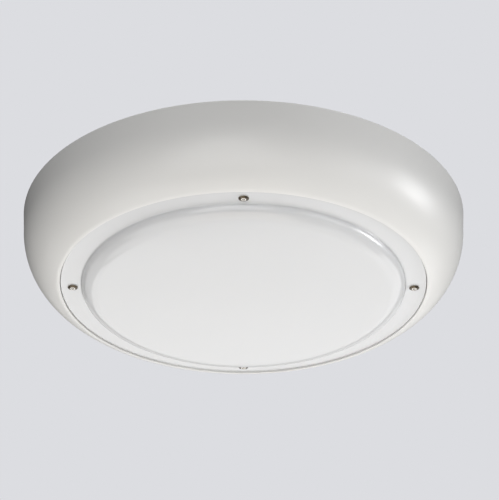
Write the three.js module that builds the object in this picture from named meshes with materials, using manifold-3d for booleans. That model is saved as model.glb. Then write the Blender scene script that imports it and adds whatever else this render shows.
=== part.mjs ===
// Round surface-mounted ceiling luminaire: a deep spun shell on a steel back plate, LED gear on a
// tray inside it, and a flanged opal diffuser held by four security screws.
// Units are millimetres. +Z points up into the ceiling, and z = 0 is the face that meets the ceiling,
// so everything in the luminaire has a negative z. The Z axis is the centre of the body.
import * as THREE from "three";
import { mergeVertices } from "three/addons/utils/BufferGeometryUtils.js";
import Module from "manifold-3d";

const wasm = await Module();
wasm.setup();

// ---------------------------------------------------------------- driving dimensions
const GAP = 0.2; // left between pieces that touch
const RING_SEGMENTS = 48; // facets round the large rings
const SMALL_SEGMENTS = 10; // facets round screws, pillars and bushes

const BODY_RADIUS = 210; // rear edge of the shell
const WALL_RADIUS = 209; // where the straight wall turns into the big curve
const SHEET = 2.5; // shell wall thickness
const BEND_Z = -18.8; // height of the big curve's centre
const BEND_RADIUS = 60;
const LIP_Z = -72.8; // lowest line of the shell's front lip
const LIP_RADIUS = 9; // outer rounding of the lip
const LIP_INNER_RADIUS = 173; // wall that surrounds the diffuser's flange
const LIP_EDGE = 0.8; // small rounding on the lip's inner edge
const SEAT_Z = -66; // face that the gasket lies on
const SEAT_INNER_RADIUS = 151; // the opening that the gear goes in through
const SEAT_FOLD = 7; // height of the stiffening fold round the opening
const HEM_TOP_Z = -2.3; // rear hem, which the back plate is riveted to
const HEM_INNER_RADIUS = 192;
const HEM_RIVET_RADIUS = 199.5;
const HEM_RIVETS = 6;

const PLATE = 2; // back plate thickness
const PLATE_RADIUS = 206.5;
const RECESS_RADIUS = 34; // dished middle of the back plate
const RECESS_DEPTH = 4;
const ENTRY_RADIUS = 8; // hole for the cable grommet
const FIXING_CIRCLE = 105; // slots that the ceiling screws go through
const FIXING_SLOT = { width: 7, length: 14 };

const SCREW_CIRCLE = 161; // the four cover screws
const COVER_SCREWS = 4;
const FLANGE_Z = -71.5; // front face of the diffuser's flange
const FLANGE = 3.5;
const FLANGE_RADIUS = 172;
const DOME_RADIUS = 152.6; // foot of the dome
const DOME_WALL = 3;
// The dome's side bends over in two steps, each given by its radius and the slope that it ends at.
const SHOULDER_BENDS = [
  { radius: 9, slope: THREE.MathUtils.degToRad(33) },
  { radius: 26, slope: THREE.MathUtils.degToRad(4.5) },
];
const SHANK_RADIUS = 2.3;
const SHANK_TIP_Z = -56;
const HEAD_RADIUS = 4.75;
const HEAD_HEIGHT = 1.4;
const HEAD_FACE_RADIUS = 2.8;
const SOCKET = { radius: 1.6, depth: 1.2, pin: 0.5 };
const WASHER = 0.4;

const TRAY_Z = -48; // rear face of the gear tray
const TRAY = 1.5;
const TRAY_FLAT_RADIUS = 133;
const TRAY_RIM = { radius: 146.8, z: -58.2 };
const PILLAR_CIRCLE = 122;
const BUSH_Y = 28; // the hole in the tray that the LED leads go through
const BOARD = 1.6;
const BOARD_INNER_RADIUS = 48;
const BOARD_RADIUS = 114;
const BOARD_SCREW_CIRCLE = 82;
const LED_ROWS = [
  { radius: 66, count: 12 },
  { radius: 98, count: 24 },
];
const LED = { length: 3.5, width: 2.8, height: 0.8 };

const DRIVER = { x: 0, y: -72, length: 128, width: 42, height: 26, z: -8.3, foot: 12, fixing: 70 };
const BLOCK = { x: 0, y: 62, length: 54, width: 20, height: 18, z: -6.3 };
const POLES = [-19, -8, 8, 19]; // centres of the terminal block's poles along x
const EARTH = { x: 75, y: 62 };
const WIRE_RADIUS = 1.1;
const WIRE_SIDES = 8;
const GENTLE_STEP = 11; // spacing of the sections along a wire, by how sharply it bends
const TIGHT_STEP = 6;
const LEAD_HEIGHT = -15; // z of the terminal block's wire holes
const DRIVER_LEAD_Z = -22;

// ---------------------------------------------------------------- materials
const finish = (color, roughness, metalness) =>
  new THREE.MeshStandardMaterial({ color, roughness, metalness });
const POWDER_WHITE = finish(0xe9e7e1, 0.42, 0);
const ZINC = finish(0xb5b9bc, 0.45, 0.9);
const OPAL = finish(0xe6e8ea, 0.25, 0);
const STAINLESS = finish(0xb9b3a8, 0.28, 1);
const RUBBER = finish(0x2b2c2e, 0.85, 0);
const NYLON = finish(0xe4e2d8, 0.5, 0);
const TRAY_WHITE = finish(0xf2f2ef, 0.5, 0);
const BOARD_WHITE = finish(0xf4f5f2, 0.4, 0);
const DRIVER_WHITE = finish(0xdedfdd, 0.5, 0);
const wireFinish = (color) => finish(color, 0.55, 0);

// ---------------------------------------------------------------- geometry helpers
const pieces = new THREE.Group();

function add(name, geometry, material, x = 0, y = 0, turn = 0) {
  const mesh = new THREE.Mesh(geometry, material);
  mesh.name = name;
  mesh.position.set(x, y, 0);
  mesh.rotation.z = turn;
  pieces.add(mesh);
  return mesh;
}

// A profile of [radius, z] points turned about Z. It either starts and ends on the axis, or is a
// loop, which is closed here.
function turned(profile, segments = SMALL_SEGMENTS) {
  const points = profile.map(([r, z]) => new THREE.Vector2(r, z));
  const loop = points[0].x > 0 || points[points.length - 1].x > 0;
  if (loop) points.push(points[0].clone());
  if (THREE.ShapeUtils.area(points) < 0) points.reverse();
  return new THREE.LatheGeometry(points, segments).rotateX(Math.PI / 2);
}

// A flat outline, given as a THREE.Shape, made solid from z = low to z = high.
function slab(shape, low, high, curveSegments = 6) {
  const settings = { depth: high - low, bevelEnabled: false, curveSegments };
  return new THREE.ExtrudeGeometry(shape, settings).translate(0, 0, low);
}

function box(sizeX, sizeY, low, high, x = 0, y = 0) {
  return new THREE.BoxGeometry(sizeX, sizeY, high - low).translate(x, y, (low + high) / 2);
}

function rod(radius, low, high, x = 0, y = 0, segments = SMALL_SEGMENTS) {
  const cylinder = new THREE.CylinderGeometry(radius, radius, high - low, segments);
  return cylinder.rotateX(Math.PI / 2).translate(x, y, (low + high) / 2);
}

function roundedRectangle(length, width, corner) {
  const [x, y] = [length / 2, width / 2];
  const shape = new THREE.Shape();
  shape.absarc(x - corner, y - corner, corner, 0, Math.PI / 2);
  shape.absarc(-x + corner, y - corner, corner, Math.PI / 2, Math.PI);
  shape.absarc(-x + corner, -y + corner, corner, Math.PI, 1.5 * Math.PI);
  shape.absarc(x - corner, -y + corner, corner, 1.5 * Math.PI, 2 * Math.PI);
  return shape;
}

function polygon(radius, sides) {
  const corners = [];
  for (let i = 0; i < sides; i++) {
    const angle = (2 * Math.PI * i) / sides;
    corners.push(new THREE.Vector2(radius * Math.cos(angle), radius * Math.sin(angle)));
  }
  return new THREE.Shape(corners);
}

// Points along an arc, from one angle to another, both ends included.
function arc(centre, radius, from, to, steps) {
  const points = [];
  for (let i = 0; i <= steps; i++) {
    const angle = from + ((to - from) * i) / steps;
    points.push([centre[0] + radius * Math.cos(angle), centre[1] - radius * Math.sin(angle)]);
  }
  return points;
}

// Even angles round a circle.
function around(count, offset = 0) {
  return Array.from({ length: count }, (_, i) => offset + (2 * Math.PI * i) / count);
}

// [x, y] on a circle about the Z axis.
function onCircle(radius, angle) {
  return [radius * Math.cos(angle), radius * Math.sin(angle)];
}

// ---------------------------------------------------------------- joins and cuts
function toSolid(geometry) {
  const bare = new THREE.BufferGeometry();
  const flat = geometry.index ? geometry.toNonIndexed() : geometry;
  bare.setAttribute("position", flat.getAttribute("position"));
  const merged = mergeVertices(bare, 1e-4);
  const corners = [];
  const index = merged.index.array;
  for (let i = 0; i < index.length; i += 3) {
    const [a, b, c] = index.slice(i, i + 3);
    if (a !== b && b !== c && c !== a) corners.push(a, b, c);
  }
  const vertProperties = new Float32Array(merged.getAttribute("position").array);
  return new wasm.Manifold(
    new wasm.Mesh({ numProp: 3, vertProperties, triVerts: new Uint32Array(corners) }),
  );
}

function toGeometry(solid) {
  const mesh = solid.getMesh();
  const geometry = new THREE.BufferGeometry();
  geometry.setAttribute("position", new THREE.BufferAttribute(mesh.vertProperties, 3));
  geometry.setIndex(new THREE.BufferAttribute(mesh.triVerts, 1));
  geometry.computeVertexNormals();
  return geometry;
}

const cut = (geometry, tools) =>
  toGeometry(tools.reduce((solid, tool) => solid.subtract(toSolid(tool)), toSolid(geometry)));
const join = (geometry, others) =>
  toGeometry(others.reduce((solid, other) => solid.add(toSolid(other)), toSolid(geometry)));

// ---------------------------------------------------------------- shell and back plate
const rivetAngles = around(HEM_RIVETS, Math.PI / 6);
const coverAngles = around(COVER_SCREWS, 0);

function shellProfile() {
  const bend = [BODY_RADIUS - 1 - BEND_RADIUS, BEND_Z];
  const lipDrop = (BEND_Z - LIP_Z - LIP_RADIUS) / (BEND_RADIUS - LIP_RADIUS);
  const meeting = Math.asin(lipDrop); // where the big curve hands over to the lip's rounding
  const lip = [
    bend[0] + (BEND_RADIUS - LIP_RADIUS) * Math.cos(meeting),
    BEND_Z - (BEND_RADIUS - LIP_RADIUS) * Math.sin(meeting),
  ];
  const innerBend = BEND_RADIUS - SHEET;
  const grooveRadius = LIP_INNER_RADIUS + SHEET;
  const groove = Math.acos((grooveRadius - bend[0]) / innerBend);
  const seatBack = SEAT_Z + SHEET;
  const foldTop = SEAT_Z + SEAT_FOLD;
  const innerWall = BODY_RADIUS - SHEET;
  return [
    [innerWall, 0],
    [BODY_RADIUS, 0],
    ...arc(bend, BEND_RADIUS, 0, meeting, 6),
    ...arc(lip, LIP_RADIUS, meeting, Math.PI / 2, 2).slice(1),
    [LIP_INNER_RADIUS, LIP_Z + LIP_EDGE],
    [LIP_INNER_RADIUS, SEAT_Z],
    [SEAT_INNER_RADIUS, SEAT_Z],
    [SEAT_INNER_RADIUS, foldTop],
    [SEAT_INNER_RADIUS + SHEET, foldTop],
    [SEAT_INNER_RADIUS + SHEET, seatBack],
    [grooveRadius, seatBack],
    ...arc(bend, innerBend, groove, 0, 4),
    [innerWall, HEM_TOP_Z - SHEET],
    [HEM_INNER_RADIUS, HEM_TOP_Z - SHEET],
    [HEM_INNER_RADIUS, HEM_TOP_Z],
    [innerWall, HEM_TOP_Z],
  ];
}

function addShell() {
  const screwHoles = coverAngles.map((angle) =>
    rod(3.9, SEAT_Z - 1, SEAT_Z + SHEET + 1, ...onCircle(SCREW_CIRCLE, angle)),
  );
  const rivetHoles = rivetAngles.map((angle) =>
    rod(2, HEM_TOP_Z - SHEET - 1, HEM_TOP_Z + 1, ...onCircle(HEM_RIVET_RADIUS, angle)),
  );
  const blank = turned(shellProfile(), RING_SEGMENTS);
  add("outer_shell", cut(blank, [...screwHoles, ...rivetHoles]), POWDER_WHITE);
}

function addBackPlate() {
  const slope = RECESS_RADIUS + RECESS_DEPTH;
  const blank = turned(
    [
      [ENTRY_RADIUS, -RECESS_DEPTH],
      [RECESS_RADIUS, -RECESS_DEPTH],
      [slope, 0],
      [PLATE_RADIUS, 0],
      [PLATE_RADIUS, -PLATE],
      [slope + 1, -PLATE],
      [RECESS_RADIUS + 1, -RECESS_DEPTH - PLATE],
      [ENTRY_RADIUS, -RECESS_DEPTH - PLATE],
    ],
    RING_SEGMENTS,
  );
  const { width, length } = FIXING_SLOT;
  const slots = around(4).map((angle) =>
    slab(roundedRectangle(width, length, width / 2), -PLATE - 1, 1, 3)
      .translate(FIXING_CIRCLE, 0, 0)
      .rotateZ(angle),
  );
  const countersink = [
    [0, 0.5],
    [4, 0.5],
    [4, -0.1],
    [2, -1.9],
    [2, -PLATE - 0.5],
    [0, -PLATE - 0.5],
  ];
  const rivetHoles = rivetAngles.map((angle) =>
    turned(countersink).translate(...onCircle(HEM_RIVET_RADIUS, angle), 0),
  );
  add("back_plate", cut(blank, [...slots, ...rivetHoles]), ZINC);
}

function addRivets() {
  const tail = HEM_TOP_Z - SHEET - GAP;
  const profile = [
    [0, -0.2],
    [3.5, -0.2],
    [1.7, -1.8],
    [1.7, tail],
    [2.9, tail],
    [2.4, tail - 1.9],
    [0, tail - 2.3],
  ];
  rivetAngles.forEach((angle, i) =>
    add(`shell_rivet_${i + 1}`, turned(profile), ZINC, ...onCircle(HEM_RIVET_RADIUS, angle)),
  );
}

// A rubber bush with a groove that grips the edge of a hole in sheet metal.
function bush(bore, groove, lip, top, sheetTop, sheetBottom, bottom) {
  return turned([
    [bore, top],
    [lip, top],
    [lip, sheetTop + GAP],
    [groove, sheetTop + GAP],
    [groove, sheetBottom - GAP],
    [lip, sheetBottom - GAP],
    [lip, bottom],
    [bore, bottom],
  ]);
}

function addCableEntry() {
  const sheetBottom = -RECESS_DEPTH - PLATE;
  add("cable_grommet", bush(5, 7.7, 11, -1, -RECESS_DEPTH, sheetBottom, -9), RUBBER);
}

// ---------------------------------------------------------------- cover
// One skin of the dome, from its foot to the middle of the crown, set inwards by a wall thickness.
function domeSide(inwards, steps) {
  const points = [];
  let centre = [DOME_RADIUS - SHOULDER_BENDS[0].radius, FLANGE_Z];
  let from = 0;
  SHOULDER_BENDS.forEach(({ radius, slope }, i) => {
    const to = Math.PI / 2 - slope;
    points.push(...arc(centre, radius - inwards, from, to, steps).slice(i > 0 ? 1 : 0));
    const end = centre[0] + radius * Math.cos(to);
    const following = SHOULDER_BENDS[i + 1]?.radius ?? end / Math.cos(to);
    const grow = following - radius;
    centre = [centre[0] - grow * Math.cos(to), centre[1] + grow * Math.sin(to)];
    from = to;
  });
  const crown = Math.hypot(points.at(-1)[0], points.at(-1)[1] - centre[1]);
  return [...points, ...arc([0, centre[1]], crown, from, Math.PI / 2, steps).slice(1)];
}

function diffuserProfile() {
  const flangeBack = FLANGE_Z + FLANGE;
  return [
    [FLANGE_RADIUS, flangeBack],
    [FLANGE_RADIUS, FLANGE_Z + LIP_EDGE],
    [FLANGE_RADIUS - LIP_EDGE, FLANGE_Z],
    ...domeSide(0, 3),
    ...domeSide(DOME_WALL, 2).reverse(),
    [DOME_RADIUS - DOME_WALL, flangeBack],
  ];
}

function addDiffuser() {
  const profile = diffuserProfile();
  // The dome is closed at its middle, so the loop is cut open there and given both skins' poles.
  const pole = profile.findIndex(([r]) => Math.abs(r) < 1e-6);
  const opened = [...profile.slice(pole + 1), ...profile.slice(0, pole + 1)].map(([r, z]) => [
    Math.abs(r) < 1e-6 ? 0 : r,
    z,
  ]);
  const holes = coverAngles.map((angle) =>
    rod(3, FLANGE_Z - 1, FLANGE_Z + FLANGE + 1, ...onCircle(SCREW_CIRCLE, angle)),
  );
  add("diffuser", cut(turned(opened, RING_SEGMENTS), holes), OPAL);
}

function addGasket() {
  const [low, high] = [FLANGE_Z + FLANGE + GAP, SEAT_Z - GAP];
  const ring = turned(
    [
      [SEAT_INNER_RADIUS + 1.5, low],
      [FLANGE_RADIUS - 0.5, low],
      [FLANGE_RADIUS - 0.5, high],
      [SEAT_INNER_RADIUS + 1.5, high],
    ],
    RING_SEGMENTS,
  );
  const holes = coverAngles.map((angle) =>
    rod(5.3, low - 1, high + 1, ...onCircle(SCREW_CIRCLE, angle)),
  );
  add("cover_gasket", cut(ring, holes), RUBBER);
}

function screwProfile(headBase, head) {
  const tip = SHANK_TIP_Z;
  return [
    [0, headBase - head],
    [HEAD_FACE_RADIUS, headBase - head],
    [HEAD_RADIUS, headBase - 0.3],
    [HEAD_RADIUS, headBase],
    [SHANK_RADIUS, headBase],
    [SHANK_RADIUS, tip - 0.5],
    [SHANK_RADIUS - 0.4, tip],
    [0, tip],
  ];
}

function addCoverScrews() {
  const washerTop = FLANGE_Z - 0.1;
  const headBase = washerTop - WASHER - 0.05;
  const headFace = headBase - HEAD_HEIGHT;
  const washer = [
    [2.6, washerTop],
    [4.6, washerTop],
    [4.6, washerTop - WASHER],
    [2.6, washerTop - WASHER],
  ];
  const insert = [
    [2.6, SEAT_Z - 1],
    [4.8, SEAT_Z - 1],
    [4.8, SEAT_Z - GAP],
    [3.6, SEAT_Z - GAP],
    [3.6, SEAT_Z + SHEET + GAP],
    [5, SEAT_Z + SHEET + 0.9],
    [4.8, SEAT_Z + SHEET + 3.1],
    [3.6, SEAT_Z + SHEET + 3.9],
    [3.6, -53],
    [2.6, -53],
  ];
  // The socket is six-sided with a pin left standing in its middle.
  const socket = polygon(SOCKET.radius, 6);
  socket.holes.push(new THREE.Path().absarc(0, 0, SOCKET.pin, 0, 2 * Math.PI, true));
  const socketTool = slab(socket, headFace - 1, headFace + SOCKET.depth, 4);
  const screw = cut(turned(screwProfile(headBase, HEAD_HEIGHT)), [socketTool]);
  coverAngles.forEach((angle, i) => {
    const place = onCircle(SCREW_CIRCLE, angle);
    add(`cover_insert_${i + 1}`, turned(insert), ZINC, ...place);
    add(`cover_washer_${i + 1}`, turned(washer), NYLON, ...place);
    add(`cover_screw_${i + 1}`, screw, STAINLESS, ...place);
  });
}

// ---------------------------------------------------------------- gear tray and LED board
const pillarAngles = around(4, Math.PI / 4);

function pillar(radius, bore, top, bottom, boreTop) {
  return turned([
    [0, top],
    [radius, top],
    [radius, bottom],
    [bore, bottom],
    [bore, boreTop],
    [0, boreTop],
  ]);
}

// A pan-head machine screw whose head lies under the face at z = seat.
function panScrew(head, height, shank, seat, tip) {
  return turned([
    [0, seat - height],
    [head * 0.6, seat - height],
    [head, seat - height * 0.5],
    [head, seat],
    [shank, seat],
    [shank, tip],
    [0, tip],
  ]);
}

function addTray() {
  const front = TRAY_Z - TRAY;
  const blank = turned(
    [
      [0, TRAY_Z],
      [TRAY_FLAT_RADIUS, TRAY_Z],
      [TRAY_RIM.radius, TRAY_RIM.z],
      [TRAY_RIM.radius - 1.4, TRAY_RIM.z - 0.9],
      [TRAY_FLAT_RADIUS - 0.6, front],
      [0, front],
    ],
    RING_SEGMENTS,
  );
  const [low, high] = [front - 1, TRAY_Z + 1];
  const holes = [
    ...pillarAngles.map((angle) => rod(2.1, low, high, ...onCircle(PILLAR_CIRCLE, angle))),
    ...pillarAngles.map((angle) => rod(1.7, low, high, ...onCircle(BOARD_SCREW_CIRCLE, angle))),
    rod(7, low, high, 0, BUSH_Y, 16),
  ];
  add("gear_tray", cut(blank, holes), TRAY_WHITE);
  const trayBush = bush(5, 6.6, 9, TRAY_Z + 2, TRAY_Z, front, front - 1.7);
  add("tray_bush", trayBush, RUBBER, 0, BUSH_Y);
  pillarAngles.forEach((angle, i) => {
    const place = onCircle(PILLAR_CIRCLE, angle);
    const post = pillar(4, 1.9, -PLATE - GAP, TRAY_Z + GAP, -34);
    add(`tray_pillar_${i + 1}`, post, ZINC, ...place);
    add(`tray_screw_${i + 1}`, panScrew(3.6, 2.4, 1.6, front - GAP, -38), ZINC, ...place);
  });
}

function addLedBoard() {
  const top = TRAY_Z - TRAY - GAP;
  const bottom = top - BOARD;
  const board = turned(
    [
      [BOARD_INNER_RADIUS, top],
      [BOARD_RADIUS, top],
      [BOARD_RADIUS, bottom],
      [BOARD_INNER_RADIUS, bottom],
    ],
    RING_SEGMENTS,
  );
  const packages = LED_ROWS.flatMap(({ radius, count }) =>
    around(count, Math.PI / count).map((angle) =>
      box(LED.width, LED.length, bottom - LED.height, bottom + 0.3, radius).rotateZ(angle),
    ),
  );
  const holes = pillarAngles.map((angle) =>
    rod(1.7, bottom - 1, top + 1, ...onCircle(BOARD_SCREW_CIRCLE, angle)),
  );
  add("led_board", cut(join(board, packages), holes), BOARD_WHITE);
  pillarAngles.forEach((angle, i) => {
    const screw = panScrew(2.75, 1.9, 1.3, bottom - GAP, -46);
    add(`board_screw_${i + 1}`, screw, ZINC, ...onCircle(BOARD_SCREW_CIRCLE, angle));
  });
  const connectorTop = bottom - GAP;
  const entries = [-2.5, 2.5].map((x) =>
    box(3, 4, connectorTop - 3.7, connectorTop - 0.7, x, -3.5),
  );
  const connector = cut(box(12, 8, connectorTop - 4.4, connectorTop), entries);
  add("board_connector", connector, NYLON, 0, BOARD_INNER_RADIUS + 6);
}

// ---------------------------------------------------------------- driver, terminals and earth
function addDriver() {
  const { x, y, length, width, height, z, foot, fixing } = DRIVER;
  const body = slab(roundedRectangle(length, width, 4), z - height, z, 3);
  const feet = box(length + 2 * foot, width - 8, z - 2, z);
  const slots = [-fixing, fixing].map((side) => rod(2.2, z - 3, z + 1, side, 0, 12));
  const leads = [-1, 1].flatMap((end) =>
    [-6, 6].map((side) => box(6, 4, DRIVER_LEAD_Z - 2, DRIVER_LEAD_Z + 2, (end * length) / 2, side)),
  );
  add("led_driver", cut(join(body, [feet]), [...slots, ...leads]), DRIVER_WHITE, x, y);
  [-fixing, fixing].forEach((side, i) => {
    const standoff = pillar(4, 1.9, -PLATE - GAP, z + GAP, -4);
    add(`driver_standoff_${i + 1}`, standoff, ZINC, x + side, y);
    const screw = panScrew(3.6, 2.4, 1.6, z - 2 - GAP, -4.5);
    add(`driver_screw_${i + 1}`, screw, ZINC, x + side, y);
  });
}

function addTerminalBlock() {
  const { x, y, length, width, height, z } = BLOCK;
  const bottom = z - height;
  const pockets = POLES.flatMap((pole) => [
    rod(2.7, bottom - 1, bottom + 6, pole, 0, 12),
    box(3.4, 8, LEAD_HEIGHT - 1.7, LEAD_HEIGHT + 1.7, pole, width / 2),
    box(3.4, 8, LEAD_HEIGHT - 1.7, LEAD_HEIGHT + 1.7, pole, -width / 2),
  ]);
  const fixing = [rod(1.7, bottom - 1, z + 1), rod(3.3, bottom - 1, bottom + 12)];
  const body = slab(roundedRectangle(length, width, 2), bottom, z, 2);
  add("terminal_block", cut(body, [...pockets, ...fixing]), NYLON, x, y);
  const standoff = pillar(4, 1.6, -PLATE - GAP, z + GAP, -3.4);
  add("terminal_standoff", standoff, ZINC, x, y);
  const seat = bottom + 12 - GAP;
  add("terminal_screw", panScrew(2.75, 1.9, 1.3, seat, -4), ZINC, x, y);
  POLES.forEach((pole, i) =>
    add(`terminal_clamp_${i + 1}`, rod(2.3, bottom + 1, bottom + 5.7), ZINC, x + pole, y),
  );
}

function addEarth() {
  const { x, y } = EARTH;
  const tagTop = -PLATE - GAP - 0.2;
  const washerTop = tagTop - 1;
  const nutTop = washerTop - 1.2;
  add("earth_stud", rod(2.4, -18, -PLATE - GAP), ZINC, x, y);
  const ring = join(rod(4.8, tagTop - 0.8, tagTop), [
    box(9, 5, tagTop - 0.8, tagTop, -8),
    box(7, 4, tagTop - 3, tagTop - 0.4, -11),
  ]);
  add("earth_tag", cut(ring, [rod(2.7, tagTop - 2, tagTop + 1)]), ZINC, x, y);
  const washer = turned([
    [2.7, washerTop],
    [5, washerTop],
    [5, washerTop - 1],
    [2.7, washerTop - 1],
  ]);
  add("earth_washer", washer, ZINC, x, y);
  const hexagon = polygon(4.6, 6);
  hexagon.holes.push(new THREE.Path().absarc(0, 0, 2.7, 0, 2 * Math.PI, true));
  add("earth_nut", slab(hexagon, nutTop - 4, nutTop, 8), ZINC, x, y);
}

// ---------------------------------------------------------------- wiring
// An insulated wire along a smooth curve through hand-placed points.
function wire(name, color, step, route) {
  const curve = new THREE.CatmullRomCurve3(route.map((p) => new THREE.Vector3(...p)));
  const steps = Math.ceil(curve.getLength() / step);
  const section = polygon(WIRE_RADIUS, WIRE_SIDES);
  const settings = { steps, bevelEnabled: false, extrudePath: curve };
  add(name, new THREE.ExtrudeGeometry(section, settings), wireFinish(color));
}

function addWiring() {
  const blockFace = BLOCK.y + BLOCK.width / 2 + 0.4;
  const driverLeft = -DRIVER.length / 2 - 0.4;
  const driverRight = DRIVER.length / 2 + 0.4;
  const boardFace = BOARD_INNER_RADIUS + 1.6;
  const connectorZ = TRAY_Z - TRAY - GAP - BOARD - GAP - 2.2;
  wire("live_wire", 0x7a4a2a, GENTLE_STEP, [
    [POLES[0], blockFace, LEAD_HEIGHT],
    [POLES[0], blockFace + 5, LEAD_HEIGHT],
    [-32, 80, -13],
    [-60, 62, -9],
    [-86, 30, -6],
    [-92, -10, -6],
    [-91, -45, -9],
    [-84, -63, -17],
    [-74, -66, -21.5],
    [driverLeft, DRIVER.y + 6, DRIVER_LEAD_Z],
  ]);
  wire("neutral_wire", 0x3a6fb0, GENTLE_STEP, [
    [POLES[1], blockFace, LEAD_HEIGHT],
    [POLES[1], blockFace + 8, LEAD_HEIGHT],
    [-30, 87, -13],
    [-64, 67, -9],
    [-91, 32, -6],
    [-97, -12, -6],
    [-96, -50, -9],
    [-89, -72, -17],
    [-78, -77, -21.5],
    [driverLeft, DRIVER.y - 6, DRIVER_LEAD_Z],
  ]);
  wire("led_plus_wire", 0xb3322b, TIGHT_STEP, [
    [driverRight, DRIVER.y + 6, DRIVER_LEAD_Z],
    [74, -66, -22],
    [80, -56, -24],
    [76, -34, -28],
    [56, -9, -33],
    [28, 11, -37],
    [4, 22, -40],
    [-1.9, 27.5, -45],
    [-1.9, 28, -50],
    [-2.3, 31, -54],
    [-2.5, 38, -54.8],
    [-2.5, 44, connectorZ],
    [-2.5, boardFace, connectorZ],
  ]);
  wire("led_minus_wire", 0x2a2b2d, TIGHT_STEP, [
    [driverRight, DRIVER.y - 6, DRIVER_LEAD_Z],
    [77, -79, -22],
    [88, -64, -24],
    [83, -31, -28],
    [61, -4, -33],
    [32, 16, -37],
    [9, 25.5, -40],
    [1.9, 28, -45],
    [1.9, 28, -50],
    [2.3, 31, -54],
    [2.5, 38, -54.8],
    [2.5, 44, connectorZ],
    [2.5, boardFace, connectorZ],
  ]);
  wire("earth_wire", 0x6f9a3a, TIGHT_STEP, [
    [EARTH.x - 15, EARTH.y, -4.2],
    [EARTH.x - 21, EARTH.y + 1, -5],
    [44, 72, -8],
    [34, 80, -12],
    [24, 80.5, -14],
    [POLES[3], blockFace + 4, LEAD_HEIGHT],
    [POLES[3], blockFace, LEAD_HEIGHT],
  ]);
}

// ---------------------------------------------------------------- the whole luminaire
addShell();
addBackPlate();
addRivets();
addCableEntry();
addGasket();
addDiffuser();
addCoverScrews();
addTray();
addLedBoard();
addDriver();
addTerminalBlock();
addEarth();
addWiring();

export default pieces;
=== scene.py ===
# %% [markdown]
# # A round ceiling luminaire
#
# This lesson dresses a finished CAD assembly for its portrait. The CAD model already says how big
# the luminaire is, where each piece sits and what moves. Blender adds what a CAD model leaves out:
# fine curves, rounded edges, threads, sockets, and surfaces that look like paint, opal plastic,
# rubber and metal. We never move or resize a CAD part. We build a finer piece in the same place and
# let it stand for the plain one.
#
# The frame arrives in metres with +Z pointing up into the ceiling. The luminaire hangs below z = 0.

# %% Load the frame
import math

import bmesh
import bpy
from mathutils import Matrix, Vector


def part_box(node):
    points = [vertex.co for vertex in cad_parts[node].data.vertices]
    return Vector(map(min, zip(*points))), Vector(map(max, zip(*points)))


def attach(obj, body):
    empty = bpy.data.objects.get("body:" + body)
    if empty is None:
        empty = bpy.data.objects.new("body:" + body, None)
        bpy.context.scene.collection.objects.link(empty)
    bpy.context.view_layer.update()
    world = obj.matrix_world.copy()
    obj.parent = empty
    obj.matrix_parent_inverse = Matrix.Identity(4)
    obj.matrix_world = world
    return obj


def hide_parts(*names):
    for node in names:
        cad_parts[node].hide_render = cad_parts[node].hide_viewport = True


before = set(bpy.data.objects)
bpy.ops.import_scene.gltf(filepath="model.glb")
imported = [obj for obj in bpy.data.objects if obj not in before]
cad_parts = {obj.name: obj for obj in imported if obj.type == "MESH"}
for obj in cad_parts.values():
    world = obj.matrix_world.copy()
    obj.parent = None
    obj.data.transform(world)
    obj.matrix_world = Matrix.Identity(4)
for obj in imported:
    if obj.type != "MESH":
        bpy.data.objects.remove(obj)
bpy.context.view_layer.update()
MM = 0.001  # the drawings below are in millimetres, and Blender's unit is the metre

# %% [markdown]
# ## The camera
#
# We look at the luminaire from below and from a little over two metres away, with a long lens, so its
# circles are flattened and there is little perspective. The camera stands on a line that drops 29.4
# degrees below the ceiling, measured from the circle that the four cover screws lie on. The middle of
# the view is a little above and to the right of that circle's middle, so we aim there.

# %% Place the camera
scene = bpy.context.scene
screw_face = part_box("cover_screw_1")[0].z
screw_circle = Vector((0, 0, screw_face - 0.3 * MM))
DISTANCE = 2.318
DROP = math.radians(29.43)
AIM_RIGHT, AIM_UP = 5.6 * MM, 37 * MM
LENS, SENSOR = 177, 36  # millimetres

camera = bpy.data.objects.new("camera", bpy.data.cameras.new("camera"))
scene.collection.objects.link(camera)
scene.camera = camera
camera.data.sensor_width = SENSOR
camera.data.lens = LENS
camera.data.clip_end = 50
towards_camera = Vector((0, -math.cos(DROP), -math.sin(DROP)))
picture_up = Vector((0, -math.sin(DROP), math.cos(DROP)))
camera.location = screw_circle + towards_camera * DISTANCE
aim = screw_circle + Vector((AIM_RIGHT, 0, 0)) + picture_up * AIM_UP
camera.rotation_mode = "QUATERNION"
camera.rotation_quaternion = (aim - camera.location).to_track_quat("-Z", "Y")
print("camera at", [round(part, 3) for part in camera.location], "lens", LENS)

# %% [markdown]
# ## Sums on shader sockets
#
# A procedural material is a small calculation. Clicking it together from Math nodes hides the
# formula, so we wrap an output socket in a class that Python's operators work on. Each operator adds
# the Math node that does the same sum. A Math node would turn a colour grey, so colours are blended
# by a Mix node instead, and vectors are scaled by a Vector Math node.

# %% A socket that Python can calculate with
class Wire:
    """The output of a shader node. Operators on it add Math nodes."""

    def __init__(self, socket):
        self.socket = socket

    def math(self, operation, first, second):
        node = self.socket.id_data.nodes.new("ShaderNodeMath")
        node.operation = operation
        feed(node.inputs[0], first)
        feed(node.inputs[1], second)
        return Wire(node.outputs[0])

    def __add__(self, other):
        return self.math("ADD", self, other)

    def __sub__(self, other):
        return self.math("SUBTRACT", self, other)

    def __rsub__(self, other):
        return self.math("SUBTRACT", other, self)

    def __mul__(self, other):
        return self.math("MULTIPLY", self, other)

    __radd__ = __add__
    __rmul__ = __mul__


def feed(target, value):
    """Links a node's input to a wire, or sets it to a plain value."""
    if isinstance(value, Wire):
        target.id_data.links.new(value.socket, target)
    else:
        target.default_value = value


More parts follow.
